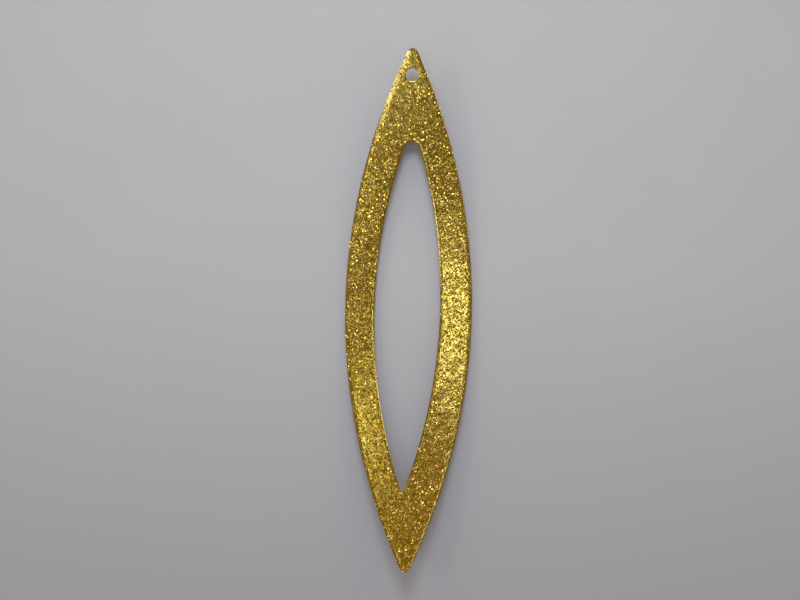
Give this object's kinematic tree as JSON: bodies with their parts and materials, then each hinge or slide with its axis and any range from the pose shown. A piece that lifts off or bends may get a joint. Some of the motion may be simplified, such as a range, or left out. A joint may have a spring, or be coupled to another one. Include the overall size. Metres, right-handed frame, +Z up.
{
  "type": "marquise openwork pendant",
  "caption": "Slim pointed-oval pendant of gold-plated sheet brass, bowed lengthwise, with a pitted front, a large pointed-oval opening and a small hanging hole at its upper tip.",
  "frame": {"origin": "on the surface that the pendant lies on, under the middle of its length and width, where its bowed back touches", "axes": "+Y along the pendant towards the tip with the hanging hole, +X to the right and +Z up, out of the pitted front"},
  "size_m": [0.015, 0.06, 0.0048],
  "materials": {
    "gold_plate": "polished yellow gold plate over brass, with a front textured all over by small round pits"
  },
  "bodies": {
    "root": {"pendant_frame": "gold_plate"}
  },
  "joints": []
}
